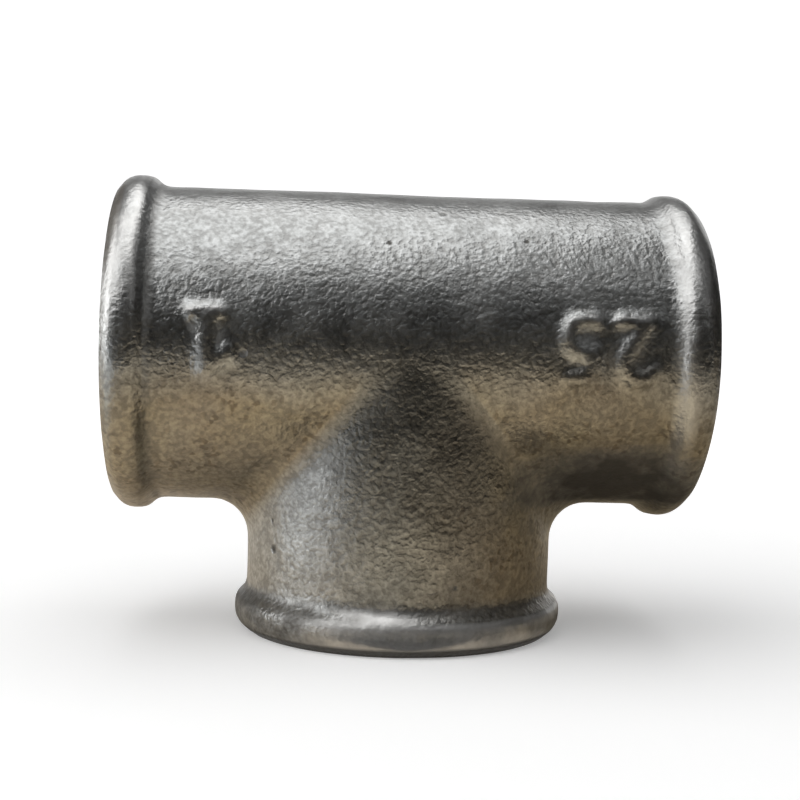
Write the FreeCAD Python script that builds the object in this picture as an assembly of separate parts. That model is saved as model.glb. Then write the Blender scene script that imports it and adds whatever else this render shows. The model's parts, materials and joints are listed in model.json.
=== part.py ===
# A galvanised malleable iron pipe tee: three equal female pipe ends on one cast body. The run lies
# along X and the branch hangs from its middle, so the tee stands on the branch's end face. The origin
# is the centre of that face, +Z goes up the branch, and all sizes are in millimetres.
#
# The real fitting is one piece of metal, made in three steps, and the script follows them. A pattern
# gives the outside, with a rolled band round each mouth and a fillet in each crotch. A sand core gives
# the waterway inside, which is wider than the threads so that the tap runs out into free space. Then
# each mouth is faced, bored and chamfered for its thread, which is left here at its minor diameter.

import FreeCAD, Part
import math
import os
from FreeCAD import Vector

# The three mouths, sized for a one inch parallel pipe thread.
THREAD_MINOR_RADIUS = 15.15
THREAD_DEPTH = 1.48
THREADED_LENGTH = 17.0
MOUTH_LIP = 0.35

# Where each end face lies, measured from the point where the two axes cross.
RUN_REACH = 38.0
BRANCH_REACH = 38.0

# The cast wall and the room behind each thread.
TAP_RELIEF = 0.97
WALL = 3.2

# The branch is a touch slimmer than the run, so that its root is one smooth curve.
BRANCH_STEP = 0.2

# The band round each mouth: how far it stands above the run's wall, then its stretches from the end
# face inwards. All three bands have the same outer diameter.
BAND_RISE = 1.5
BAND_EDGE_RADIUS = 2.2
BAND_CREST = 1.0
BAND_FLANK = 2.8

# Roundings where the branch leaves the run, outside and inside.
CROTCH_FILLET = 5.0
CORE_FILLET = 2.5

# A cutting shape runs this far past the face that it opens.
OVERCUT = 2.0
# A crotch fillet uses no more than this share of the straight wall beside it.
FILLET_SHARE = 0.9
# A point this near a surface counts as lying on it.
ON_SURFACE = 0.001

THREAD_MAJOR_RADIUS = THREAD_MINOR_RADIUS + THREAD_DEPTH
MOUTH_RADIUS = THREAD_MAJOR_RADIUS + MOUTH_LIP
CORE_RADIUS = THREAD_MAJOR_RADIUS + TAP_RELIEF
BODY_RADIUS = CORE_RADIUS + WALL
BAND_RADIUS = BODY_RADIUS + BAND_RISE
BAND_WIDTH = BAND_EDGE_RADIUS + BAND_CREST + BAND_FLANK

ORIGIN = Vector(0, 0, 0)
RIGHT = Vector(1, 0, 0)
DOWN = Vector(0, 0, -1)


def revolved(edges, name):
    """One closed outline in the XZ plane, turned once about X."""
    solid = Part.Face(Part.Wire(edges)).revolve(ORIGIN, RIGHT, 360)
    if not solid.isValid():
        raise ValueError(name + " did not close into a solid")
    return solid


def polyline(points):
    return [Part.makeLine(a, b) for a, b in zip(points, points[1:])]


def banded_limb(reach, radius):
    """The outside of one limb, along +X from the crossing to its end face, with the band at its mouth."""
    # The flank is an S of two equal arcs, and each turns by an angle that its length and rise give.
    turn = 2 * math.atan((BAND_RADIUS - radius) / BAND_FLANK)
    flank_radius = BAND_FLANK / (2 * math.sin(turn))

    def on_body_arc(angle):
        x = reach - BAND_WIDTH + flank_radius * math.sin(angle)
        return Vector(x, 0, radius + flank_radius * (1 - math.cos(angle)))

    def on_crest_arc(angle):
        x = reach - BAND_WIDTH + BAND_FLANK - flank_radius * math.sin(angle)
        return Vector(x, 0, BAND_RADIUS - flank_radius * (1 - math.cos(angle)))

    def on_edge_arc(angle):
        x = reach - BAND_EDGE_RADIUS + BAND_EDGE_RADIUS * math.sin(angle)
        return Vector(x, 0, BAND_RADIUS - BAND_EDGE_RADIUS * (1 - math.cos(angle)))

    axis_start = ORIGIN
    wall_start = Vector(0, 0, radius)
    axis_end = Vector(reach, 0, 0)
    right_angle = math.pi / 2
    edges = polyline([axis_start, wall_start, on_body_arc(0)])
    edges.append(Part.Arc(on_body_arc(0), on_body_arc(turn / 2), on_body_arc(turn)).toShape())
    edges.append(Part.Arc(on_crest_arc(turn), on_crest_arc(turn / 2), on_crest_arc(0)).toShape())
    edges += polyline([on_crest_arc(0), on_edge_arc(0)])
    edges.append(Part.Arc(on_edge_arc(0), on_edge_arc(right_angle / 2), on_edge_arc(right_angle)).toShape())
    edges += polyline([on_edge_arc(right_angle), axis_end, axis_start])
    return revolved(edges, "a banded limb")


def waterway_limb(reach, core_radius):
    """The hollow of one limb: the cored passage, the shoulder, the bore for the thread and its chamfer."""
    shoulder = core_radius - THREAD_MINOR_RADIUS
    chamfer = MOUTH_RADIUS - THREAD_MINOR_RADIUS
    bore_start = reach - THREADED_LENGTH
    return revolved(
        polyline([
            ORIGIN,
            Vector(0, 0, core_radius),
            Vector(bore_start - shoulder, 0, core_radius),
            Vector(bore_start, 0, THREAD_MINOR_RADIUS),
            Vector(reach - chamfer, 0, THREAD_MINOR_RADIUS),
            Vector(reach + OVERCUT, 0, MOUTH_RADIUS + OVERCUT),
            Vector(reach + OVERCUT, 0, 0),
            ORIGIN,
        ]),
        "a waterway limb",
    )


def pointed_down(limb):
    """A limb made along +X, turned to hang along -Z."""
    turned = limb.copy()
    turned.rotate(ORIGIN, RIGHT.cross(DOWN), 90)
    return turned


def straight_run(limb):
    """The limb and its mirror image, as one run through the crossing."""
    return limb.fuse(limb.mirror(ORIGIN, RIGHT)).removeSplitter()


def lies_on(edge, axis, radius):
    """Whether an edge keeps that distance from an axis through the origin, all along."""
    first, last = edge.ParameterRange
    samples = [edge.valueAt(first + (last - first) * share) for share in (0.1, 0.35, 0.6, 0.85)]
    return all(abs(point.cross(axis).Length - radius) < ON_SURFACE for point in samples)


def joined_with_fillet(run, branch, run_radius, branch_radius, fillet):
    """Run and branch as one solid, with a rolling fillet where their walls meet, if it has room to roll."""
    tee = run.fuse(branch).removeSplitter()
    if fillet <= 0:
        return tee
    root = [e for e in tee.Edges if lies_on(e, RIGHT, run_radius) and lies_on(e, DOWN, branch_radius)]
    return tee.makeFillet(fillet, root)


def pattern():
    """The outside of the casting."""
    branch_radius = BODY_RADIUS - BRANCH_STEP
    run_room = RUN_REACH - BAND_WIDTH - branch_radius
    branch_room = BRANCH_REACH - BAND_WIDTH - BODY_RADIUS
    fillet = min(CROTCH_FILLET, FILLET_SHARE * min(run_room, branch_room))
    run = straight_run(banded_limb(RUN_REACH, BODY_RADIUS))
    branch = pointed_down(banded_limb(BRANCH_REACH, branch_radius))
    return joined_with_fillet(run, branch, BODY_RADIUS, branch_radius, fillet)


def waterway():
    """Everything that is hollow: the core with the three machined mouths."""
    branch_radius = CORE_RADIUS - BRANCH_STEP
    shoulder = CORE_RADIUS - THREAD_MINOR_RADIUS
    run_room = RUN_REACH - THREADED_LENGTH - shoulder - branch_radius
    branch_room = BRANCH_REACH - THREADED_LENGTH - shoulder - CORE_RADIUS
    fillet = min(CORE_FILLET, FILLET_SHARE * min(run_room, branch_room))
    run = straight_run(waterway_limb(RUN_REACH, CORE_RADIUS))
    branch = pointed_down(waterway_limb(BRANCH_REACH, branch_radius))
    return joined_with_fillet(run, branch, CORE_RADIUS, branch_radius, fillet)


def tee_body():
    """The finished fitting, standing on its branch."""
    body = pattern().cut(waterway())
    body.translate(Vector(0, 0, BRANCH_REACH))
    return body


os.makedirs("parts", exist_ok=True)
body = tee_body()
body.exportStep("parts/tee_body.step")
print("tee_body: %d solid, valid %s" % (len(body.Solids), body.isValid()))
print("volume %.0f mm3, box %s" % (body.Volume, body.optimalBoundingBox(False)))
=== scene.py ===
import json
import math
from contextlib import contextmanager
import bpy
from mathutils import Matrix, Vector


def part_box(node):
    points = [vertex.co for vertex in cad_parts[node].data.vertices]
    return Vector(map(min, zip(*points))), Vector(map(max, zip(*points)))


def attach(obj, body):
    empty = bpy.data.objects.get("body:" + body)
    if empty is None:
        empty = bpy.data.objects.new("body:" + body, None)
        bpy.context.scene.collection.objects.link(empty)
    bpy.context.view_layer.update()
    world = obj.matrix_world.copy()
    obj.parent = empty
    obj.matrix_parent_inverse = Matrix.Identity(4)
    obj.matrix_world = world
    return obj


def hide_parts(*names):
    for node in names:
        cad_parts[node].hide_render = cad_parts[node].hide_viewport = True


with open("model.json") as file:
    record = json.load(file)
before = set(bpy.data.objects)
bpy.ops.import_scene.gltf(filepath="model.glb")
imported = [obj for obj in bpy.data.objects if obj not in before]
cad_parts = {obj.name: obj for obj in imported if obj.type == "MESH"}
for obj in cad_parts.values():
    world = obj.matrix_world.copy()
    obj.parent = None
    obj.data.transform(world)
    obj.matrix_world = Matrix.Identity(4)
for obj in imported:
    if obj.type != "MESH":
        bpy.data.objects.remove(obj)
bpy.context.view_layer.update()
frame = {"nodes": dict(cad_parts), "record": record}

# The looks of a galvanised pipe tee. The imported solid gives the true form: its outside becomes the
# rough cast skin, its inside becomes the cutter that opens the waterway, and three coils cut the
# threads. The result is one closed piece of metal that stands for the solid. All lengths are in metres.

from types import SimpleNamespace

import bmesh
import bpy
from mathutils import Matrix, Vector, kdtree, noise

MM = 0.001

# What the frame says: the limbs' reach, the height of the run's axis and the thread's minor radius.
NODE = "tee_body"
HIGH_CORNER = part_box(NODE)[1]
REACH = HIGH_CORNER.x
BAND_RADIUS = HIGH_CORNER.y
RUN_THREAD = next(mount for mount in frame["record"]["mounts"] if mount["name"] == "run_thread_right")
AXIS_HEIGHT = RUN_THREAD["pos_m"][2]
THREAD_MINOR = RUN_THREAD["dims"]["r_mm"] * MM
CROSSING = Vector((0, 0, AXIS_HEIGHT))

# How far a band stands above the run's wall.
BAND_RISE = 1.5 * MM
BODY_RADIUS = BAND_RADIUS - BAND_RISE

# The thread: a Whitworth form of eleven turns to the inch. The flat is the bottom of its groove, and
# the land stays between two grooves. The coil that cuts it runs from the wide core to past the end
# face, and its foot reaches into the open bore, so that none of it lies along the bore's wall.
THREAD_PITCH = 25.4 * MM / 11
THREAD_DEPTH = 1.479 * MM
THREAD_TURNS = 9
THREAD_START = 17.5 * MM
THREAD_STEPS = 96
THREAD_FLAT = 0.30 * MM
THREAD_LAND = 0.34 * MM
COIL_FOOT = 0.25 * MM

# The cast skin's mesh, and the stock beyond each end that facing takes off.
SKIN_VOXEL = 0.5 * MM
END_STOCK = 1.0 * MM

# What tells the surfaces apart: all that is hollow lies this near an axis, a mouth is this deep, and a
# point this near an end's plane lies on the end face.
INSIDE_RADIUS = 18.4 * MM
MOUTH_LENGTH = 19.4 * MM
FACE_MARGIN = 0.02 * MM

# Points this near each other are one, and a face with more corners than this closes a mouth's rim.
MERGE_DISTANCE = 0.0005 * MM
CAP_CORNERS = 24

# Hot zinc fills the skin's corners: this many smoothing passes.
ZINC_PASSES = 4
# The right-hand band's edges are softer than the others'.
SOFT_BAND_START = 30 * MM
SOFT_BAND_PASSES = 7

# How uneven the casting is: its swells, its ripples, and a parting seam that is ground off in places.
# Each offset says where in the noise the casting lies.
SWELL_SIZE = 17 * MM
SWELL_HEIGHT = 0.16 * MM
SWELL_OFFSET = Vector((3.1, 0.4, 7.7))
RIPPLE_SIZE = 4.2 * MM
RIPPLE_HEIGHT = 0.055 * MM
RIPPLE_OFFSET = Vector((1.7, 9.2, 2.6))
SEAM_HEIGHT = 0.16 * MM
SEAM_WIDTH = 0.7 * MM
SEAM_PATCH_SIZE = 6 * MM
SEAM_OFFSET = Vector((5.5, 5.5, 5.5))

# How far the right-hand band falls short along its top, and over what length.
LOW_BAND_DEPTH = 0.5 * MM
LOW_BAND_WIDTH = 7 * MM
LOW_BAND_RUN_IN = 4 * MM

# Raised figures cast on the front of the run, by their middles along it. They read right way up with
# the branch pointing up. Their roots sink into the wall, and slices let them follow its round.
FIGURES = (("1", -25.4 * MM), ("25", 23.9 * MM))
FIGURE_HEIGHT = 8.4 * MM
FIGURE_ELEVATION = math.radians(1.0)
FIGURE_RELIEF = 0.68 * MM
FIGURE_SWELL = 0.05 * MM
FIGURE_SPACING = 1.12
FIGURE_ROOT = 0.7 * MM
FIGURE_SLICE = 0.8 * MM
# A built-in letterform's figures are this high for each unit of its size.
LETTERFORM_HEIGHT = 0.69

# Small blow holes in the skin: their radius at the rim and at the floor, and their places.
BLOW_HOLE_RIM = 0.42 * MM
BLOW_HOLE_FLOOR = 0.168 * MM


def on_run_front(along, elevation):
    """A point of the run's wall, by millimetres from the middle and degrees above the front."""
    turn = math.radians(elevation)
    return (along * MM, -BODY_RADIUS * math.cos(turn), AXIS_HEIGHT + BODY_RADIUS * math.sin(turn))


def on_branch_front(azimuth, height):
    """A point of the branch's wall, by degrees right of the front and millimetres above the ground."""
    turn = math.radians(azimuth)
    return (BODY_RADIUS * math.sin(turn), -BODY_RADIUS * math.cos(turn), height * MM)


BLOW_HOLES = (
    on_run_front(14.2, 41.4),
    on_run_front(-3.2, 38.9),
    on_branch_front(-56, 15.5),
    on_branch_front(16, 8.5),
)

# The body's finishes, in the order of its material slots.
GALVANISED_SKIN, FACED_END, TAPPED_MOUTH, CORED_PASSAGE = range(4)
SHARP_ANGLE = math.radians(38)

# The hollows and crests are judged against the skin after this many smoothing passes. Then come the
# depths that count as full, and how near a point has to be to the skin to take its depth from it.
RELIEF_PASSES = 14
FULL_HOLLOW = 0.16 * MM
FULL_CREST = 0.13 * MM
NEAR_SKIN = 1.0 * MM


# Mesh helpers.

@contextmanager
def opened(mesh):
    """A mesh as a bmesh, which is written back when the work on it is done."""
    bm = bmesh.new()
    bm.from_mesh(mesh)
    yield bm
    bm.to_mesh(mesh)
    bm.free()


def new_object(name, bm):
    """The finished bmesh as an object of the scene."""
    mesh = bpy.data.meshes.new(name)
    bm.to_mesh(mesh)
    bm.free()
    piece = bpy.data.objects.new(name, mesh)
    bpy.context.scene.collection.objects.link(piece)
    return piece


def evaluated_mesh(piece):
    """A new mesh of what a text or a piece with modifiers looks like."""
    bpy.context.view_layer.update()
    return bpy.data.meshes.new_from_object(piece.evaluated_get(bpy.context.evaluated_depsgraph_get()))


def apply_modifier(piece, kind, **settings):
    """Puts the piece's mesh through one modifier."""
    modifier = piece.modifiers.new(kind, kind)
    for key, value in settings.items():
        setattr(modifier, key, value)
    result = evaluated_mesh(piece)
    piece.modifiers.clear()
    piece.data = result


def cut_by(piece, cutter):
    """Takes the cutter's space away from the piece, and the cutter from the scene."""
    apply_modifier(piece, "BOOLEAN", operation="DIFFERENCE", object=cutter, solver="MANIFOLD")
    bpy.data.objects.remove(cutter)


def merge(bm):
    bmesh.ops.remove_doubles(bm, verts=bm.verts, dist=MERGE_DISTANCE)


def close_rims(bm):
    """Closes each open rim with one face."""
    bmesh.ops.holes_fill(bm, edges=[edge for edge in bm.edges if edge.is_boundary], sides=0)


def slice_at(bm, place, facing, **options):
    everything = bm.verts[:] + bm.edges[:] + bm.faces[:]
    bmesh.ops.bisect_plane(bm, geom=everything, plane_co=place, plane_no=facing, **options)


def new_verts(grown):
    """The points among what an extrusion made."""
    return [item for item in grown["geom"] if isinstance(item, bmesh.types.BMVert)]


def smooth(bm, verts, passes):
    for _ in range(passes):
        bmesh.ops.smooth_vert(bm, verts=verts, factor=0.5, use_axis_x=True, use_axis_y=True, use_axis_z=True)


def clamped(value):
    return max(0.0, min(1.0, value))


# Where things lie on the tee.

def limb_placements():
    """For each limb, what takes it from lying along +X at the origin to its place on the tee."""
    at_crossing = Matrix.Translation(CROSSING)
    return {
        "right": at_crossing,
        "left": at_crossing @ Matrix.Rotation(math.pi, 4, "Z"),
        "branch": at_crossing @ Matrix.Rotation(math.pi / 2, 4, "Y"),
    }


def end_faces():
    """Each end face, as its middle and the way it faces."""
    for placement in limb_placements().values():
        out = (placement.to_3x3() @ Vector((1, 0, 0))).normalized()
        yield CROSSING + out * REACH, out


ENDS = list(end_faces())


def off_axis(point, end, out):
    """The way and distance from a mouth's axis to a point."""
    reach = point - end
    return reach - out * reach.dot(out)


def mouth_of(point):
    """The mouth that a point belongs to, as its end's middle and direction, or nothing."""
    for end, out in ENDS:
        if off_axis(point, end, out).length < BAND_RADIUS and (end - point).dot(out) < MOUTH_LENGTH:
            return end, out
    return None


def is_inside(point):
    """Whether a point of the solid's surface belongs to the waterway, a bore or a mouth's chamfer."""
    beside_run = math.hypot(point.y, point.z - AXIS_HEIGHT)
    beside_branch = math.hypot(point.x, point.y)
    in_run = beside_run < INSIDE_RADIUS and abs(point.x) < REACH - FACE_MARGIN
    in_branch = beside_branch < INSIDE_RADIUS and FACE_MARGIN < point.z < AXIS_HEIGHT
    return in_run or in_branch


def finish_of(middle):
    """Which finish a face has, from its middle."""
    mouth = mouth_of(middle)
    if mouth:
        end, out = mouth
        if (end - middle).dot(out) < FACE_MARGIN:
            return FACED_END
        if off_axis(middle, end, out).length < INSIDE_RADIUS:
            return TAPPED_MOUTH
    return CORED_PASSAGE if is_inside(middle) else GALVANISED_SKIN


# The casting.

def shell_of_solid(kept, stock):
    """The faces of the solid that are kept, as a closed shell that reaches past each end by the stock."""
    bm = bmesh.new()
    bm.from_mesh(frame["nodes"][NODE].data)
    merge(bm)
    dropped = [face for face in bm.faces if not kept(face.calc_center_median())]
    bmesh.ops.delete(bm, geom=dropped, context="FACES")
    close_rims(bm)
    caps = [face for face in bm.faces if len(face.verts) > CAP_CORNERS]
    for cap in caps:
        middle = sum((vert.co for vert in cap.verts), Vector()) / len(cap.verts)
        outward = (middle - CROSSING).normalized()
        grown = bmesh.ops.extrude_face_region(bm, geom=[cap])
        bmesh.ops.translate(bm, verts=new_verts(grown), vec=outward * stock)
    bmesh.ops.delete(bm, geom=[cap for cap in caps if cap.is_valid], context="FACES_ONLY")
    bmesh.ops.recalc_face_normals(bm, faces=bm.faces)
    return bm


def numeral_one(height):
    """A one with a flag and a foot, as a flat face."""
    stroke = 0.16 * height
    half = stroke / 2
    foot = 0.27 * height
    flag = 0.25 * height
    flag_stroke = 1.3 * stroke
    outline = [
        (-foot, 0),
        (foot, 0),
        (foot, stroke),
        (half, stroke),
        (half, height),
        (-half, height),
        (-half - flag, height - flag),
        (-half - flag, height - flag - flag_stroke),
        (-half, height - flag_stroke),
        (-half, stroke),
        (-foot, stroke),
    ]
    bm = bmesh.new()
    bm.faces.new([bm.verts.new((x, y, 0)) for x, y in outline])
    return bm


def written_figures(text, height):
    """Figures from the built-in letterforms, as a flat mesh."""
    curve = bpy.data.curves.new("figure", "FONT")
    curve.body = text
    curve.size = height / LETTERFORM_HEIGHT
    curve.offset = FIGURE_SWELL
    curve.space_character = FIGURE_SPACING
    curve.align_x = "CENTER"
    writing = bpy.data.objects.new("figure", curve)
    bpy.context.scene.collection.objects.link(writing)
    mesh = evaluated_mesh(writing)
    bpy.data.objects.remove(writing)
    bm = bmesh.new()
    bm.from_mesh(mesh)
    bpy.data.meshes.remove(mesh)
    merge(bm)
    return bm


def flat_figure(text):
    """Figures as a flat mesh about their own middle, cut into slices."""
    bm = numeral_one(FIGURE_HEIGHT) if text == "1" else written_figures(text, FIGURE_HEIGHT)
    bmesh.ops.translate(bm, verts=bm.verts, vec=(0, -FIGURE_HEIGHT / 2, 0))
    level = -FIGURE_HEIGHT
    while level < FIGURE_HEIGHT:
        slice_at(bm, (0, level, 0), (0, 1, 0))
        level += FIGURE_SLICE
    return bm


def add_raised_figures(bm):
    """The figures, stood up from inside the run's front wall. The skin then joins them to it."""
    root = BODY_RADIUS - FIGURE_ROOT
    for text, along in FIGURES:
        figure = flat_figure(text)
        for vert in figure.verts:
            angle = FIGURE_ELEVATION - vert.co.y / BODY_RADIUS
            height = AXIS_HEIGHT + root * math.sin(angle)
            vert.co = Vector((along - vert.co.x, -root * math.cos(angle), height))
        grown = bmesh.ops.extrude_face_region(figure, geom=figure.faces[:])
        for vert in new_verts(grown):
            out = Vector((0, vert.co.y, vert.co.z - AXIS_HEIGHT)).normalized()
            vert.co += out * (FIGURE_ROOT + FIGURE_RELIEF)
        bmesh.ops.recalc_face_normals(figure, faces=figure.faces)
        raised = bpy.data.meshes.new("raised_figure")
        figure.to_mesh(raised)
        figure.free()
        bm.from_mesh(raised)
        bpy.data.meshes.remove(raised)


def low_band(point):
    """The right-hand band did not quite fill along its top."""
    along = clamped((point.x - REACH + LOW_BAND_WIDTH) / LOW_BAND_RUN_IN)
    upward = max(0.0, (point.z - AXIS_HEIGHT) / BAND_RADIUS)
    return LOW_BAND_DEPTH * along * upward ** 2


def unevenness(point):
    """How far the sand mould left the skin above or below its true place."""
    swell = noise.noise(point / SWELL_SIZE + SWELL_OFFSET)
    ripple = noise.noise(point / RIPPLE_SIZE + RIPPLE_OFFSET)
    left_on = clamped(0.5 + noise.noise(point / SEAM_PATCH_SIZE + SEAM_OFFSET))
    seam = math.exp(-(point.y / SEAM_WIDTH) ** 2) * left_on
    return SWELL_HEIGHT * swell + RIPPLE_HEIGHT * ripple + SEAM_HEIGHT * seam - low_band(point)


def cast_skin():
    """The outside as it left the mould and the zinc bath, longer than the part at each end."""
    bm = shell_of_solid(lambda middle: finish_of(middle) == GALVANISED_SKIN, END_STOCK)
    add_raised_figures(bm)
    skin = new_object("cast_body", bm)
    apply_modifier(skin, "REMESH", mode="VOXEL", voxel_size=SKIN_VOXEL, use_smooth_shade=True)
    with opened(skin.data) as bm:
        smooth(bm, bm.verts, ZINC_PASSES)
        smooth(bm, [vert for vert in bm.verts if vert.co.x > SOFT_BAND_START], SOFT_BAND_PASSES)
        bm.normal_update()
        for vert in bm.verts:
            vert.co += vert.normal * unevenness(vert.co)
    return skin


def relief_of(skin):
    """A search tree of the skin's points, and how far each lies below its smoothed surroundings."""
    bm = bmesh.new()
    bm.from_mesh(skin.data)
    start = [(vert.co.copy(), vert.normal.copy()) for vert in bm.verts]
    smooth(bm, bm.verts, RELIEF_PASSES)
    depths = [(vert.co - place).dot(normal) for vert, (place, normal) in zip(bm.verts, start)]
    bm.free()
    tree = kdtree.KDTree(len(start))
    for index, (place, _) in enumerate(start):
        tree.insert(place, index)
    tree.balance()
    return tree, depths


def face_ends(piece):
    """Cuts the three ends back flat to their real places."""
    with opened(piece.data) as bm:
        for end, out in ENDS:
            slice_at(bm, end, out, clear_outer=True)
            close_rims(bm)


def waterway_cutter():
    """All that is hollow, reaching past the ends."""
    return new_object("waterway_cutter", shell_of_solid(is_inside, 2 * END_STOCK))


def thread_coil(name, placement):
    """A coil of the groove's section, which cuts one mouth's thread."""
    half_base = (THREAD_PITCH - THREAD_LAND) / 2
    half_flat = THREAD_FLAT / 2
    root = THREAD_MINOR + THREAD_DEPTH
    outline = [
        (-half_base, THREAD_MINOR - COIL_FOOT),
        (-half_base, THREAD_MINOR),
        (-half_flat, root),
        (half_flat, root),
        (half_base, THREAD_MINOR),
        (half_base, THREAD_MINOR - COIL_FOOT),
    ]
    bm = bmesh.new()
    corners = [bm.verts.new((THREAD_START + along, 0, radius)) for along, radius in outline]
    loop = [bm.edges.new(pair) for pair in zip(corners, corners[1:] + corners[:1])]
    bmesh.ops.spin(
        bm,
        geom=corners + loop,
        cent=(0, 0, 0),
        axis=(1, 0, 0),
        dvec=(THREAD_PITCH / THREAD_STEPS, 0, 0),
        angle=2 * math.pi * THREAD_TURNS,
        steps=THREAD_STEPS * THREAD_TURNS,
        use_merge=False,
        use_duplicate=False,
    )
    merge(bm)
    close_rims(bm)
    bmesh.ops.recalc_face_normals(bm, faces=bm.faces)
    bmesh.ops.transform(bm, matrix=placement, verts=bm.verts)
    return new_object(name, bm)


def mark_sharp(bm):
    """Sharp edges: where two faces turn far enough, and where a cast face meets a machined one."""
    for edge in bm.edges:
        kinds = {face.material_index for face in edge.link_faces}
        edge.smooth = len(kinds) == 1 and edge.calc_face_angle(0.0) < SHARP_ANGLE


def turn_normals(mesh):
    """The machined faces shade as swept about their own axis, whatever facets they are cut into."""
    normals = [corner.vector.copy() for corner in mesh.corner_normals]
    for face in mesh.polygons:
        if face.material_index not in (FACED_END, TAPPED_MOUTH):
            continue
        end, out = mouth_of(face.center)
        outward = face.normal.dot(off_axis(face.center, end, out).normalized())
        lengthwise = face.normal.dot(out)
        for corner in face.loop_indices:
            place = mesh.vertices[mesh.loops[corner].vertex_index].co
            swept = off_axis(place, end, out).normalized() * outward + out * lengthwise
            normals[corner] = swept.normalized()
    mesh.normals_split_custom_set(normals)


def give_finishes(piece, relief):
    """Sets each face's finish, and each point's hollow and crest."""
    tree, depths = relief
    with opened(piece.data) as bm:
        hollow = bm.verts.layers.float.new("hollow")
        crest = bm.verts.layers.float.new("crest")
        for face in bm.faces:
            face.material_index = finish_of(face.calc_center_median())
            face.smooth = True
        for vert in bm.verts:
            _, index, distance = tree.find(vert.co)
            if distance < NEAR_SKIN:
                vert[hollow] = clamped(depths[index] / FULL_HOLLOW)
                vert[crest] = clamped(-depths[index] / FULL_CREST)
        mark_sharp(bm)
    turn_normals(piece.data)


def make_body():
    """The one piece of metal: cast, faced, bored, tapped and galvanised."""
    body = cast_skin()
    relief = relief_of(body)
    face_ends(body)
    cut_by(body, waterway_cutter())
    for limb, placement in limb_placements().items():
        cut_by(body, thread_coil("thread_" + limb, placement))
    give_finishes(body, relief)
    body.data.materials.clear()
    for material in (galvanised_skin(), faced_end(), tapped_mouth(), cored_passage()):
        body.data.materials.append(material)
    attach(body, "root")
    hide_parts(NODE)
    print("cast_body", sum(len(face.vertices) - 2 for face in body.data.polygons), "triangles")


# Node helpers.

class Nodes:
    """A node tree that is written down one node at a time."""

    def __init__(self, tree):
        self.tree = tree

    def feed(self, socket, value):
        """Links another node's output to the socket, or sets the socket's own value."""
        if isinstance(value, bpy.types.NodeSocket):
            self.tree.links.new(value, socket)
        else:
            socket.default_value = value

    def add(self, kind, **inputs):
        """A new node, with each named value given to its setting or its socket of that name."""
        node = self.tree.nodes.new(kind)
        for key, value in inputs.items():
            if key in node.bl_rna.properties:
                setattr(node, key, value)
            else:
                self.feed(node.inputs[key.replace("_", " ")], value)
        return node

    def group(self, build, **inputs):
        """The outputs of the effect that a function builds, which is built only once."""
        node = self.tree.nodes.new("ShaderNodeGroup")
        node.node_tree = bpy.data.node_groups.get(build.__name__) or build()
        for key, value in inputs.items():
            self.feed(node.inputs[key.replace("_", " ")], value)
        return node.outputs

    def object_place(self):
        return self.add("ShaderNodeTexCoord").outputs["Object"]

    def attribute(self, name):
        return self.add("ShaderNodeAttribute", attribute_name=name).outputs["Fac"]

    def parts(self, place):
        """A place's three coordinates."""
        return self.add("ShaderNodeSeparateXYZ", Vector=place).outputs

    def math(self, operation, first, second=0.0, clamp=False):
        node = self.tree.nodes.new("ShaderNodeMath")
        node.operation = operation
        node.use_clamp = clamp
        self.feed(node.inputs[0], first)
        self.feed(node.inputs[1], second)
        return node.outputs[0]

    def chain(self, operation, values):
        total, *others = values
        for value in others:
            total = self.math(operation, total, value)
        return total

    def total(self, *values):
        return self.chain("ADD", values)

    def product(self, *factors):
        return self.chain("MULTIPLY", factors)

    def strongest(self, *masks):
        return self.chain("MAXIMUM", masks)

    def outside(self, mask):
        """Where a mask is not."""
        return self.math("SUBTRACT", 1.0, mask)

    def radius(self, aside, up):
        """The distance from an axis, from the two coordinates beside it."""
        return self.math("SQRT", self.total(self.math("POWER", aside, 2), self.math("POWER", up, 2)))

    def span(self, value, low, high, to_low=0.0, to_high=1.0):
        """The value carried from one range to another, and kept within it."""
        node = self.tree.nodes.new("ShaderNodeMapRange")
        for socket, number in zip(node.inputs, (value, low, high, to_low, to_high)):
            self.feed(socket, number)
        return node.outputs[0]

    def between(self, mask, at_none, at_full):
        """One value where a mask is nothing, another where it is full."""
        return self.span(mask, 0.0, 1.0, at_none, at_full)

    def noise(self, place, scale, detail=2.0, roughness=0.5):
        node = self.add("ShaderNodeTexNoise", Scale=scale, Detail=detail, Roughness=roughness)
        self.feed(node.inputs["Vector"], place)
        return node.outputs["Fac"]

    def patches(self, place, scale, detail=2.0, roughness=0.5, spread=(0.3, 0.7), to=(0.0, 1.0)):
        """Soft patches: noise, of which one spread of values is carried to a range."""
        return self.span(self.noise(place, scale, detail, roughness), *spread, *to)

    def cells(self, place, scale):
        """How far each point is from the middle of its cell."""
        return self.add("ShaderNodeTexVoronoi", Vector=place, Scale=scale).outputs["Distance"]

    def mix(self, share, first, second):
        """One colour where the share is nothing, another where it is full."""
        node = self.tree.nodes.new("ShaderNodeMix")
        node.data_type = "RGBA"
        self.feed(node.inputs["Factor"], share)
        colours = [socket for socket in node.inputs if socket.type == "RGBA"]
        self.feed(colours[0], first)
        self.feed(colours[1], second)
        return next(socket for socket in node.outputs if socket.type == "RGBA")


def new_group(name, inputs, outputs):
    """An empty effect with named sockets, and its own inputs and outputs."""
    tree = bpy.data.node_groups.new(name, "ShaderNodeTree")
    for label, default in inputs.items():
        kind = "NodeSocketVector" if label == "Place" else "NodeSocketFloat"
        socket = tree.interface.new_socket(label, in_out="INPUT", socket_type=kind)
        if default is not None:
            socket.default_value = default
    for label in outputs:
        tree.interface.new_socket(label, in_out="OUTPUT", socket_type="NodeSocketFloat")
    nodes = Nodes(tree)
    return nodes, nodes.add("NodeGroupInput").outputs, nodes.add("NodeGroupOutput").inputs


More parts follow.
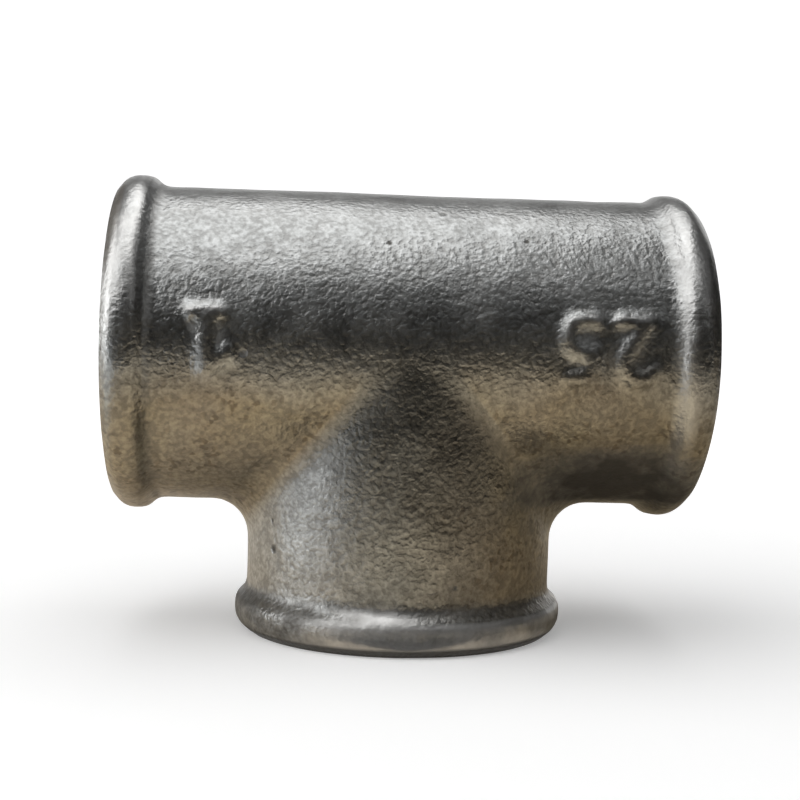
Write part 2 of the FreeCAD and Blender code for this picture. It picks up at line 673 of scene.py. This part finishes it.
def new_material(name):
    material = bpy.data.materials.new(name)
    material.use_nodes = True
    return material, Nodes(material.node_tree), material.node_tree.nodes["Principled BSDF"]


def raise_relief(nodes, shader, height, depth):
    """Gives the shader a relief of the given depth."""
    bump = nodes.add("ShaderNodeBump", Height=height, Distance=depth, Strength=1.0)
    nodes.feed(shader.inputs["Normal"], bump.outputs["Normal"])


# Effects that the finishes share. A scale is in turns of the noise for each metre.

# The scale of the grain's cells and lumps against its beads, and the height of the cells' domes.
CELLS_TO_BEADS = 0.62
LUMPS_TO_BEADS = 0.26
DOME_HEIGHT = 0.45
# The grain's pits: their spacing, their width in their cells, where they cluster, and their depth.
PIT_SCALE = 150.0
PIT_WIDTH = (0.10, 0.035)
PIT_CLUSTERS = (0.60, 0.64)
PIT_DEPTH = 0.9
# The heights of the grain at which it is nowhere and everywhere crowned; below its crowns it takes painted
# shade.
GRAIN_CROWN_HEIGHTS = (0.45, 0.9)


def zinc_grain():
    """The orange peel of hot zinc over sand cast iron: fine beads on slower lumps, with pits between."""
    inputs = {"Place": None, "Bead Scale": 1900.0, "Lump Share": 0.55}
    nodes, given, result = new_group("zinc_grain", inputs, ("Height", "Pits", "Crowns"))
    place = given["Place"]
    cells = nodes.cells(place, nodes.product(given["Bead Scale"], CELLS_TO_BEADS))
    domes = nodes.product(nodes.math("POWER", cells, 2), DOME_HEIGHT)
    beads = nodes.math("SUBTRACT", nodes.noise(place, given["Bead Scale"], detail=1.0), domes)
    lumps = nodes.noise(place, nodes.product(given["Bead Scale"], LUMPS_TO_BEADS), detail=1.0)
    height = nodes.total(beads, nodes.product(lumps, given["Lump Share"]))
    near = nodes.span(nodes.cells(place, PIT_SCALE), *PIT_WIDTH)
    pits = nodes.product(near, nodes.patches(place, scale=90.0, detail=0.0, spread=PIT_CLUSTERS))
    nodes.feed(result["Height"], nodes.math("SUBTRACT", height, nodes.product(pits, PIT_DEPTH)))
    nodes.feed(result["Pits"], pits)
    nodes.feed(result["Crowns"], nodes.span(height, *GRAIN_CROWN_HEIGHTS))
    return nodes.tree


def stain_specks():
    """Small brown specks that gather in loose clusters."""
    nodes, given, result = new_group("stain_specks", {"Place": None, "Speck Scale": 1100.0}, ("Specks",))
    specks = nodes.patches(given["Place"], given["Speck Scale"], detail=1.0, spread=(0.54, 0.64))
    clusters = nodes.patches(given["Place"], scale=190.0, spread=(0.40, 0.58))
    nodes.feed(result["Specks"], nodes.product(specks, clusters))
    return nodes.tree


# How far a soft patch's edge wavers, and the squares of its reach at which it is nothing and full.
PATCH_WAVER = 0.35
PATCH_EDGE = (1.5, 0.25)


def soft_patch():
    """A soft patch round the origin of its place, with a ragged edge, that places painted highlights and
    painted shade.
    """
    inputs = {"Place": None, "Reach X": 0.011, "Reach Y": 0.008, "Reach Z": 0.006}
    nodes, given, result = new_group("soft_patch", inputs, ("Smear",))
    ragged = nodes.patches(given["Place"], scale=260.0, to=(-PATCH_WAVER, PATCH_WAVER))
    squares = []
    for along, name in zip(nodes.parts(given["Place"]), ("Reach X", "Reach Y", "Reach Z")):
        squares.append(nodes.math("POWER", nodes.math("DIVIDE", along, given[name]), 2))
    nodes.feed(result["Smear"], nodes.span(nodes.total(*squares, ragged), *PATCH_EDGE))
    return nodes.tree


# The patches' values between which grime goes from its least to all of itself.
GRIME_PATCHES = (0.3, 0.62)
GRIME_LEAST = 0.35


def grime():
    """Where grime has settled: in hollows and pits, broken up by patches."""
    inputs = {"Place": None, "Hollow": 0.0, "Pits": 0.0, "Patch Scale": 260.0}
    nodes, given, result = new_group("grime", inputs, ("Dirt",))
    patches = nodes.noise(given["Place"], given["Patch Scale"], detail=3.0, roughness=0.6)
    broken = nodes.span(patches, *GRIME_PATCHES, GRIME_LEAST, 1.0)
    in_hollows = nodes.product(given["Hollow"], broken)
    nodes.feed(result["Dirt"], nodes.math("MAXIMUM", in_hollows, given["Pits"], clamp=True))
    return nodes.tree


# The galvanised skin.

ZINC_GREY = (0.495, 0.505, 0.50, 1)
ZINC_PALE = (0.555, 0.565, 0.56, 1)
# Painted highlight colour, which also stands for worn zinc on the crests.
ZINC_WEAR_AND_HIGHLIGHT = (0.74, 0.735, 0.72, 1)
# Painted shade in the V between the run's limbs.
V_SHADE_GREY = (0.10, 0.10, 0.095, 1)
# Painted shade in the grain's hollows.
GRAIN_SHADE = (0.13, 0.125, 0.115, 1)
# Warm patina low down, partly real and partly a painted reflection of a tan surface below.
TARNISH_AND_REFLECTION_OCHRE = (0.42, 0.36, 0.25, 1)
TARNISH_AND_REFLECTION_BROWN = (0.39, 0.325, 0.235, 1)
SPECK_BROWN = (0.09, 0.06, 0.035, 1)
# Grime, painted shade under the right limb and on the bottom rim, and darkening round the foot.
DIRT_AND_SHADE_BROWN = (0.05, 0.042, 0.030, 1)

# Where the finishes lie. Each pair says where a mask is nothing and where it is full, as a height
# above the ground, a place along the run from its middle, or a distance from the branch's axis.
OFF_BRANCH_RADII = (20.8 * MM, 21.5 * MM)
OFF_FOOT_HEIGHTS = (4 * MM, 7 * MM)
PAST_LEFT_ALONG = (-15 * MM, -9 * MM)
TARNISH_AND_REFLECTION_HEIGHTS = (36 * MM, 29 * MM)
TARNISH_AND_REFLECTION_RUN_HEIGHTS = (6 * MM, 10 * MM)
TARNISH_AND_REFLECTION_RIGHT_ALONG = (-3 * MM, 14 * MM)
TARNISH_AND_REFLECTION_WANDER = 4 * MM
# Painted shade in the V between the run's limbs.
V_SHADE_FOOT_HEIGHTS = (12 * MM, 26 * MM)
V_SHADE_TIP_HEIGHTS = (38.5 * MM, 35 * MM)
# Painted highlights on the upper run and on the bands' upper parts; the run is also lighter along its top.
HIGHLIGHT_RUN_HEIGHTS = (36 * MM, 50 * MM)
LIGHTER_TOP_HEIGHTS = (53.5 * MM, 58.5 * MM)
HIGHLIGHT_BAND_ALONG = (31.5 * MM, 34.5 * MM)
# A painted highlight streak down the right band's flank.
STREAK_HEIGHTS = (21 * MM, 29 * MM)
STREAK_MIDDLE = 34 * MM
STREAK_HALF_WIDTHS = (1.8 * MM, 0.6 * MM)
CLEANER_RIGHT_ALONG = (6 * MM, 16 * MM)
# Painted shade on the bottom rim that the tee stands on.
RIM_SHADE_HEIGHTS = (1.5 * MM, 0.8 * MM)
CALM_GRAIN_HEIGHTS = (20 * MM, 32 * MM)

# The crests that count as worn edges, and the hollows that count as dirty, from none to all.
WORN_CRESTS = (0.55, 0.95)
DIRTY_HOLLOWS = (0.35, 1.0)

# A painted highlight on the foot, and painted shade under the run's right limb: middles and reaches.
FOOT_HIGHLIGHT = Vector((-4.6, -22.0, 4.2)) * MM
FOOT_HIGHLIGHT_REACH = Vector((6.8, 8.0, 1.9)) * MM
LIMB_SHADE = Vector((27.0, -13.0, 19.5)) * MM
LIMB_SHADE_REACH = Vector((14.0, 8.0, 7.0)) * MM
LIMB_SHADE_HEIGHTS = (17.5 * MM, 18.6 * MM)

# How much of each finish there is where its mask is full.
TARNISH_AND_REFLECTION_SHARE = 0.92
GRAIN_SHADE_SHARE = 0.52
V_SHADE_SHARE = 0.42
HIGHLIGHT_RUN_SHARE = 0.9
LIGHTER_TOP_SHARE = 0.5
HIGHLIGHT_BAND_SHARE = 0.55
STREAK_SHARE = 0.5
FOOT_HIGHLIGHT_SHARE = 0.9
HOLLOW_DIRT_SHARE = 0.8
RIM_SHADE_SHARE = 0.9

# Shares that go from one value to another: patina and its painted reflection from their palest
# patches to their fullest and from the foot to above it, specks from clean zinc to patina, grime in the
# hollows from the left to the right, painted shade under the limb from below its heights to above
# them, and darkening round the foot from its left edge to the rest and from its palest mottles to its
# fullest.
TARNISH_AND_REFLECTION_PATCH_SHARES = (0.75, 1.0)
TARNISH_AND_REFLECTION_FOOT_SHARES = (0.35, 1.0)
SPECK_SHARES = (0.12, 0.6)
HOLLOW_SHARES = (1.0, 0.2)
LIMB_SHADE_SHARES = (0.35, 0.95)
FOOT_DARKENING_SHARES = (0.8, 0.5)
FOOT_MOTTLE_SHARES = (0.1, 1.0)

# How the skin shines: its smoothest and its dullest patches, and what grime and painted shade add to
# and leave of it.
ZINC_ROUGHNESS = (0.28, 0.39)
DIRT_AND_SHADE_ROUGHNESS = 0.3
DIRT_AND_SHADE_METALLIC = 0.35

# The grain's depth, how far the wear and the painted highlights flatten it, how calm it is low down,
# how coarse it is on the foot, and how deep a pit goes.
GRAIN_DEPTH = 0.082 * MM
WEAR_AND_HIGHLIGHT_FLATTENING = 0.7
CALM_GRAIN = 0.75
FOOT_GRAIN = 1.9
PIT_SINK = 0.8


def whereabouts(nodes, place):
    """Where a point lies on the tee, as the measures and masks that the skin's finishes share."""
    x, y, z = nodes.parts(place)
    wander = nodes.patches(place, scale=45.0, to=(-TARNISH_AND_REFLECTION_WANDER, TARNISH_AND_REFLECTION_WANDER))
    return SimpleNamespace(
        along=x,
        height=z,
        wandering_along=nodes.total(x, wander),
        wandering_height=nodes.total(z, wander),
        off_branch=nodes.span(nodes.radius(x, y), *OFF_BRANCH_RADII),
        off_foot=nodes.span(z, *OFF_FOOT_HEIGHTS),
        past_left=nodes.span(x, *PAST_LEFT_ALONG),
        mottle=nodes.patches(place, scale=330.0, detail=3.0, roughness=0.6),
    )


def blow_holes(nodes, place):
    """A mask for each blow hole."""
    for spot in BLOW_HOLES:
        away = nodes.add("ShaderNodeVectorMath", operation="DISTANCE", Vector=place)
        away.inputs[1].default_value = spot
        yield nodes.span(away.outputs["Value"], BLOW_HOLE_RIM, BLOW_HOLE_FLOOR)


def smudge_at(nodes, place, middle, reach):
    """A soft patch round a middle, with its reach along each axis."""
    centred = nodes.add("ShaderNodeMapping", Vector=place, Location=-middle).outputs[0]
    reaches = dict(zip(("Reach_X", "Reach_Y", "Reach_Z"), reach))
    return nodes.group(soft_patch, Place=centred, **reaches)["Smear"]


def tarnish_mask(nodes, place, at):
    """Warm patina low down, partly real and partly a painted reflection of a tan surface below: on the right
    side, and elsewhere on the run but not on the branch.
    """
    low_down = nodes.span(at.wandering_height, *TARNISH_AND_REFLECTION_HEIGHTS)
    patches = nodes.noise(place, scale=120.0, detail=3.0, roughness=0.6)
    stained = nodes.span(patches, 0.25, 0.75, *TARNISH_AND_REFLECTION_PATCH_SHARES)
    right_side = nodes.span(at.wandering_along, *TARNISH_AND_REFLECTION_RIGHT_ALONG)
    on_run = nodes.product(at.off_branch, nodes.span(at.wandering_height, *TARNISH_AND_REFLECTION_RUN_HEIGHTS))
    above_foot = nodes.between(at.off_foot, *TARNISH_AND_REFLECTION_FOOT_SHARES)
    return nodes.product(low_down, stained, nodes.strongest(right_side, on_run), above_foot)


def dull_v_mask(nodes, at):
    """Painted shade on the branch's wall between the run's limbs, up to the tip of the V."""
    rising = nodes.span(at.height, *V_SHADE_FOOT_HEIGHTS)
    below_tip = nodes.span(at.height, *V_SHADE_TIP_HEIGHTS)
    return nodes.product(rising, below_tip, nodes.outside(at.off_branch))


def rubbed_mask(nodes, place, at):
    """Where the zinc is bright: worn crests, lit only on the upper run and the foot as painted highlights,
    painted highlights on the bands, in a streak and in a spot on the foot, and a lighter top.
    """
    worn_edge = nodes.span(nodes.attribute("crest"), *WORN_CRESTS)
    upper = nodes.span(at.height, *HIGHLIGHT_RUN_HEIGHTS, 0.0, HIGHLIGHT_RUN_SHARE)
    foot = nodes.product(at.past_left, nodes.outside(at.off_foot))
    edges = nodes.product(worn_edge, nodes.strongest(upper, foot))
    bands = nodes.span(nodes.math("ABSOLUTE", at.along), *HIGHLIGHT_BAND_ALONG, 0.0, HIGHLIGHT_BAND_SHARE)
    # A painted highlight streak down the right band's flank.
    off_streak = nodes.math("ABSOLUTE", nodes.math("SUBTRACT", at.along, STREAK_MIDDLE))
    streak = nodes.product(
        nodes.span(off_streak, *STREAK_HALF_WIDTHS),
        nodes.span(at.height, *STREAK_HEIGHTS, 0.0, STREAK_SHARE),
    )
    top = nodes.span(at.height, *LIGHTER_TOP_HEIGHTS, 0.0, LIGHTER_TOP_SHARE)
    # A painted highlight on the foot.
    spot = nodes.product(smudge_at(nodes, place, FOOT_HIGHLIGHT, FOOT_HIGHLIGHT_REACH), FOOT_HIGHLIGHT_SHARE)
    return nodes.strongest(edges, nodes.product(upper, bands), streak, top, spot)


def dirt_mask(nodes, place, at, pits):
    """Grime in the hollows and pits, painted shade under the run's right limb and on the rim that the tee
    stands on, and darkening round the foot.
    """
    deep = nodes.span(nodes.attribute("hollow"), *DIRTY_HOLLOWS)
    deep = nodes.product(deep, nodes.span(at.along, *CLEANER_RIGHT_ALONG, *HOLLOW_SHARES))
    settled = nodes.group(grime, Place=place, Hollow=deep, Pits=pits)["Dirt"]
    # Painted shade under the run's right limb.
    limb_shade = smudge_at(nodes, place, LIMB_SHADE, LIMB_SHADE_REACH)
    limb_shade = nodes.product(limb_shade, nodes.span(at.height, *LIMB_SHADE_HEIGHTS, *LIMB_SHADE_SHARES))
    # Darker round the foot, more on its left, in mottles.
    at_foot = nodes.between(at.off_foot, nodes.between(at.past_left, *FOOT_DARKENING_SHARES), 0.0)
    round_foot = nodes.product(at_foot, nodes.between(at.mottle, *FOOT_MOTTLE_SHARES))
    # Painted shade on the bottom rim that the tee stands on.
    rim = nodes.span(at.height, *RIM_SHADE_HEIGHTS, 0.0, RIM_SHADE_SHARE)
    return nodes.strongest(nodes.product(settled, HOLLOW_DIRT_SHARE), limb_shade, round_foot, rim)


def skin_colour(nodes, place, at, grain, tarnish_and_reflection_share):
    """The zinc's colour before wear, grime and painted light are laid on: mottled, given warm patina that is
    partly a painted reflection, specked, and given painted shade in the grain's hollows and in the V.
    """
    zinc = nodes.mix(at.mottle, ZINC_GREY, ZINC_PALE)
    browner = nodes.patches(place, scale=70.0, detail=1.0, spread=(0.4, 0.6))
    tarnish_and_reflection_colour = nodes.mix(browner, TARNISH_AND_REFLECTION_OCHRE, TARNISH_AND_REFLECTION_BROWN)
    # Warm patina low down, partly a painted reflection of a tan surface below.
    colour = nodes.mix(nodes.product(tarnish_and_reflection_share, TARNISH_AND_REFLECTION_SHARE), zinc, tarnish_and_reflection_colour)
    specks = nodes.group(stain_specks, Place=place)["Specks"]
    speck_share = nodes.product(specks, nodes.between(tarnish_and_reflection_share, *SPECK_SHARES))
    colour = nodes.mix(speck_share, colour, SPECK_BROWN)
    # Painted shade in the grain's hollows.
    colour = nodes.mix(nodes.between(grain["Crowns"], GRAIN_SHADE_SHARE, 0.0), colour, GRAIN_SHADE)
    # Painted shade in the V between the run's limbs.
    return nodes.mix(nodes.product(dull_v_mask(nodes, at), V_SHADE_SHARE), colour, V_SHADE_GREY)


def galvanised_skin():
    """Hot zinc on rough cast iron: bright with wear and painted highlights, warm low down with patina and a
    painted reflection, darker with grime and painted shade.
    """
    material, nodes, shader = new_material("galvanised_skin")
    place = nodes.object_place()
    at = whereabouts(nodes, place)
    grain = nodes.group(zinc_grain, Place=place)
    pits = nodes.strongest(grain["Pits"], *blow_holes(nodes, place))
    wear_and_highlight = rubbed_mask(nodes, place, at)
    dirt_and_shade = dirt_mask(nodes, place, at, pits)

    colour = skin_colour(nodes, place, at, grain, tarnish_mask(nodes, place, at))
    # Painted highlights, with worn zinc on the crests.
    colour = nodes.mix(wear_and_highlight, colour, ZINC_WEAR_AND_HIGHLIGHT)
    # Grime, painted shade under the right limb and on the bottom rim, and darkening round the foot.
    nodes.feed(shader.inputs["Base Color"], nodes.mix(dirt_and_shade, colour, DIRT_AND_SHADE_BROWN))
    nodes.feed(shader.inputs["Metallic"], nodes.between(dirt_and_shade, 1.0, DIRT_AND_SHADE_METALLIC))

    dull = nodes.patches(place, scale=210.0, to=ZINC_ROUGHNESS)
    nodes.feed(shader.inputs["Roughness"], nodes.total(dull, nodes.product(dirt_and_shade, DIRT_AND_SHADE_ROUGHNESS)))

    worn_down = nodes.outside(nodes.product(wear_and_highlight, WEAR_AND_HIGHLIGHT_FLATTENING))
    calm = nodes.span(at.height, *CALM_GRAIN_HEIGHTS, CALM_GRAIN, 1.0)
    coarse_foot = nodes.between(at.off_foot, FOOT_GRAIN, 1.0)
    height = nodes.product(grain["Height"], worn_down, calm, coarse_foot)
    height = nodes.math("SUBTRACT", height, nodes.product(pits, PIT_SINK))
    raise_relief(nodes, shader, height, GRAIN_DEPTH)
    return material


# The machined and the hidden faces.

FACED_IRON = (0.56, 0.55, 0.53, 1)
FACED_STAIN = (0.36, 0.33, 0.29, 1)
TAPPED_IRON = (0.44, 0.43, 0.41, 1)
TAPPED_STAIN = (0.25, 0.20, 0.16, 1)
CORED_PALE = (0.40, 0.39, 0.37, 1)
CORED_DULL = (0.26, 0.24, 0.21, 1)
CORED_PIT = (0.08, 0.07, 0.06, 1)

# The facing tool's feed for each turn, its rings' height against the grain between them, and the
# height above the ground below which a faced end is the branch's.
TURNING_FEED = 0.34 * MM
RING_HEIGHT = 0.4
BRANCH_FACE_TOP = 0.5 * MM

# How deep each finish's relief is.
TURNING_DEPTH = 0.03 * MM
TAPPED_DEPTH = 0.025 * MM
CORED_DEPTH = 0.3 * MM


def faced_end():
    """Iron faced on a lathe: fine rings round each limb's axis, a little stained."""
    material, nodes, shader = new_material("faced_end")
    place = nodes.object_place()
    x, y, z = nodes.parts(place)
    round_run = nodes.radius(y, nodes.math("SUBTRACT", z, AXIS_HEIGHT))
    round_branch = nodes.radius(x, y)
    on_branch = nodes.math("LESS_THAN", z, BRANCH_FACE_TOP)
    on_run = nodes.outside(on_branch)
    radius = nodes.total(nodes.product(round_branch, on_branch), nodes.product(round_run, on_run))
    rings = nodes.math("SINE", nodes.product(radius, 2 * math.pi / TURNING_FEED))
    stain = nodes.patches(place, scale=240.0, detail=3.0, roughness=0.6, spread=(0.35, 0.7))
    nodes.feed(shader.inputs["Base Color"], nodes.mix(stain, FACED_IRON, FACED_STAIN))
    shader.inputs["Metallic"].default_value = 1.0
    nodes.feed(shader.inputs["Roughness"], nodes.between(stain, 0.28, 0.45))
    height = nodes.total(nodes.product(rings, RING_HEIGHT), nodes.noise(place, scale=900.0))
    raise_relief(nodes, shader, height, TURNING_DEPTH)
    return material


def tapped_mouth():
    """Cut threads: bare iron, a little torn, with oil and stain left in them."""
    material, nodes, shader = new_material("tapped_mouth")
    place = nodes.object_place()
    stain = nodes.patches(place, scale=260.0, detail=3.0, roughness=0.6, spread=(0.35, 0.7))
    nodes.feed(shader.inputs["Base Color"], nodes.mix(stain, TAPPED_IRON, TAPPED_STAIN))
    nodes.feed(shader.inputs["Metallic"], nodes.between(stain, 1.0, 0.8))
    nodes.feed(shader.inputs["Roughness"], nodes.between(stain, 0.30, 0.50))
    raise_relief(nodes, shader, nodes.noise(place, scale=1400.0), TAPPED_DEPTH)
    return material


def cored_passage():
    """The waterway as the sand core left it: coarse, dull zinc."""
    material, nodes, shader = new_material("cored_passage")
    place = nodes.object_place()
    grain = nodes.group(zinc_grain, Place=place, Bead_Scale=1100.0)
    mottle = nodes.patches(place, scale=300.0, detail=3.0, roughness=0.6)
    zinc = nodes.mix(mottle, CORED_PALE, CORED_DULL)
    nodes.feed(shader.inputs["Base Color"], nodes.mix(grain["Pits"], zinc, CORED_PIT))
    shader.inputs["Metallic"].default_value = 1.0
    nodes.feed(shader.inputs["Roughness"], nodes.between(mottle, 0.42, 0.6))
    raise_relief(nodes, shader, grain["Height"], CORED_DEPTH)
    return material


# The stage: a white ground, cards that only the metal mirrors, lamps, world and camera.

# The ground is a round floor that turns up into a wall. It glows for the eye and for mirrors, less
# near the tee, so that the floor keeps a shadow there, and less again up the wall.
FLOOR_RADIUS = 0.9
TURN_UP_RADIUS = 0.3
TURN_UP_STEPS = 16
WALL_TOP = 0.72
GROUND_STEPS = 96
GROUND_MERGE = 0.01 * MM
GROUND_WHITE = (0.85, 0.85, 0.85, 1)
FLOOR_GLOW = 0.28
BACKDROP_GLOW = 0.9
GLOW_RADII = (0.05, 0.5)
GLOW_WALL_HEIGHTS = (0.39, 0.5)
GLOW_WALL_SHARE = 0.45

# The cards give the metal the tones that it mirrors in the photograph. Each has its name, its middle,
# its size, the way it faces and its colour. The cards on the floor lie one above another.
FACING_UP = Matrix()
FACING_Y = Matrix.Rotation(math.pi / 2, 4, "X")
FACING_X = Matrix.Rotation(math.pi / 2, 4, "Y")
CARDS = (
    ("table_near_left", (-0.14, 0.025, 0.0008), (0.32, 0.15), FACING_UP, (0.88, 0.77, 0.62)),
    ("table_near_right", (0.16, 0.0325, 0.0008), (0.28, 0.135), FACING_UP, (0.50, 0.42, 0.30)),
    ("table_foot", (0.004, -0.030, 0.0010), (0.036, 0.016), FACING_UP, (0.16, 0.155, 0.15)),
    ("table_tan", (0.0, -0.0855, 0.0007), (0.6, 0.101), FACING_UP, (0.62, 0.53, 0.40)),
    ("table_dark", (0.0, -0.3435, 0.0008), (0.9, 0.417), FACING_UP, (0.065, 0.058, 0.048)),
    ("table_pale_front", (0.0, -0.058, 0.0009), (0.056, 0.044), FACING_UP, (0.92, 0.80, 0.60)),
    ("table_pale_left", (-0.16, -0.07, 0.0009), (0.17, 0.15), FACING_UP, (0.84, 0.88, 0.92)),
    ("table_brown_right", (0.45, 0.0, 0.0008), (0.30, 0.6), FACING_UP, (0.30, 0.25, 0.19)),
    ("dark_front_card", (-0.10, -0.56, 0.18), (1.6, 0.36), FACING_Y, (0.012, 0.012, 0.012)),
    ("tan_back_left_card", (-0.33, 0.45, 0.25), (0.5, 0.8), FACING_X, (0.16, 0.125, 0.085)),
    ("dark_right_card", (0.55, 0.0, 0.2), (0.40, 1.0), FACING_X, (0.022, 0.022, 0.022)),
)
CARD_ROUGHNESS = 0.9

# The lamps, each with its name, its middle, its size and its glow. The fill is for the floor and
# doesn't show in the metal.
LAMPS = (
    ("overhead", (-0.035, 0.015, 0.5), (0.55, 0.33), 1.62),
    ("right_front", (0.10, -0.26, 0.46), (0.24, 0.14), 0.5),
    ("left_front", (-0.28, -0.35, 0.43), (0.32, 0.28), 1.5),
    ("left", (-0.47, -0.02, 0.27), (0.42, 0.46), 1.5),
)
FLOOR_FILL = ("floor_fill", (0.0, -0.1, 0.8), (1.2, 1.2), 0.5)
WORLD_LEVEL = 0.08

# The camera stands where the photograph was taken from, as fitted to the outline. Its turns are in
# radians, and it looks at the crossing from this far away, with the crossing off its middle.
CAMERA_YAW = 0.0753
CAMERA_PITCH = 0.0417
CAMERA_ROLL = 0.0243
CAMERA_AWAY = 179.26 * MM
CAMERA_ASIDE = 0.37 * MM
CAMERA_ABOVE = 7.14 * MM
CAMERA_NEAREST = 10 * MM
FOCAL_PIXELS = 1304
IMAGE_PIXELS = 800
SENSOR_WIDTH = 36.0


def white_ground():
    """White paint that also glows for the eye and for mirrors, so that the ground stays white."""
    material, nodes, shader = new_material("white_ground")
    shader.inputs["Base Color"].default_value = GROUND_WHITE
    shader.inputs["Roughness"].default_value = 0.95
    shader.inputs["Specular IOR Level"].default_value = 0.0
    shader.inputs["Emission Color"].default_value = (1, 1, 1, 1)
    path = nodes.add("ShaderNodeLightPath").outputs
    seen = nodes.total(path["Is Camera Ray"], path["Is Glossy Ray"])
    seen = nodes.math("ADD", seen, path["Is Transmission Ray"], clamp=True)
    x, y, z = nodes.parts(nodes.object_place())
    glow = nodes.span(nodes.radius(x, y), *GLOW_RADII, FLOOR_GLOW, BACKDROP_GLOW)
    up_the_wall = nodes.span(z, *GLOW_WALL_HEIGHTS, 1.0, GLOW_WALL_SHARE)
    nodes.feed(shader.inputs["Emission Strength"], nodes.product(seen, glow, up_the_wall))
    return material


def ground():
    """The floor and the wall round it, spun from one profile."""
    profile = [(0.0, 0.0), (FLOOR_RADIUS, 0.0)]
    for step in range(1, TURN_UP_STEPS + 1):
        turn = math.pi / 2 * step / TURN_UP_STEPS
        along = FLOOR_RADIUS + TURN_UP_RADIUS * math.sin(turn)
        profile.append((along, TURN_UP_RADIUS * (1 - math.cos(turn))))
    profile.append((FLOOR_RADIUS + TURN_UP_RADIUS, WALL_TOP))
    bm = bmesh.new()
    corners = [bm.verts.new((along, 0, up)) for along, up in profile]
    edges = [bm.edges.new(pair) for pair in zip(corners, corners[1:])]
    bmesh.ops.spin(
        bm,
        geom=corners + edges,
        cent=(0, 0, 0),
        axis=(0, 0, 1),
        angle=2 * math.pi,
        steps=GROUND_STEPS,
        use_merge=True,
    )
    bmesh.ops.remove_doubles(bm, verts=bm.verts, dist=GROUND_MERGE)
    bm.normal_update()
    if sum(face.normal.z for face in bm.faces) < 0:
        bmesh.ops.reverse_faces(bm, faces=bm.faces)
    for face in bm.faces:
        face.smooth = True
    sheet = new_object("ground", bm)
    sheet.data.materials.append(white_ground())


def card_paint(name, colour):
    material, _, shader = new_material(name)
    shader.inputs["Base Color"].default_value = (*colour, 1)
    shader.inputs["Roughness"].default_value = CARD_ROUGHNESS
    return material


def card(name, middle, size, facing, colour):
    """A painted card that the metal mirrors and the camera looks past."""
    bm = bmesh.new()
    bmesh.ops.create_grid(bm, x_segments=1, y_segments=1, size=0.5)
    bmesh.ops.scale(bm, verts=bm.verts, vec=(*size, 1))
    bmesh.ops.transform(bm, matrix=Matrix.Translation(middle) @ facing, verts=bm.verts)
    sheet = new_object(name, bm)
    sheet.data.materials.append(card_paint(name, colour))
    sheet.visible_camera = False
    sheet.visible_shadow = False
    sheet.visible_diffuse = False


def soft_box(name, middle, size, glow):
    """A rectangular lamp of an even glow, turned to face the tee."""
    light = bpy.data.lights.new(name, "AREA")
    light.shape = "RECTANGLE"
    light.size, light.size_y = size
    light.energy = glow * math.pi * size[0] * size[1]
    lamp = bpy.data.objects.new(name, light)
    facing = (Vector(middle) - CROSSING).to_track_quat("Z", "Y").to_matrix().to_4x4()
    lamp.matrix_world = Matrix.Translation(middle) @ facing
    bpy.context.scene.collection.objects.link(lamp)
    return lamp


def plain_world():
    world = bpy.data.worlds.new("world")
    bpy.context.scene.world = world
    world.use_nodes = True
    background = world.node_tree.nodes["Background"]
    background.inputs["Color"].default_value = (WORLD_LEVEL, WORLD_LEVEL, WORLD_LEVEL, 1)


def camera():
    """The camera, placed by where the crossing lies in its own view."""
    to_view = (
        Matrix.Rotation(CAMERA_ROLL, 3, "Y")
        @ Matrix.Rotation(CAMERA_PITCH, 3, "X")
        @ Matrix.Rotation(CAMERA_YAW, 3, "Z")
    )
    from_view = to_view.transposed()
    place = CROSSING - from_view @ Vector((CAMERA_ASIDE, CAMERA_AWAY, CAMERA_ABOVE))
    lens = bpy.data.cameras.new("camera")
    lens.sensor_width = SENSOR_WIDTH
    lens.lens = SENSOR_WIDTH * FOCAL_PIXELS / IMAGE_PIXELS
    lens.clip_start = CAMERA_NEAREST
    eye = bpy.data.objects.new("camera", lens)
    eye.matrix_world = Matrix.Translation(place) @ from_view.to_4x4() @ Matrix.Rotation(math.pi / 2, 4, "X")
    bpy.context.scene.collection.objects.link(eye)
    bpy.context.scene.camera = eye


camera()
make_body()
ground()
for values in CARDS:
    card(*values)
for values in LAMPS:
    soft_box(*values)
soft_box(*FLOOR_FILL).visible_glossy = False
plain_world()

bpy.context.scene.view_settings.view_transform = "Standard"
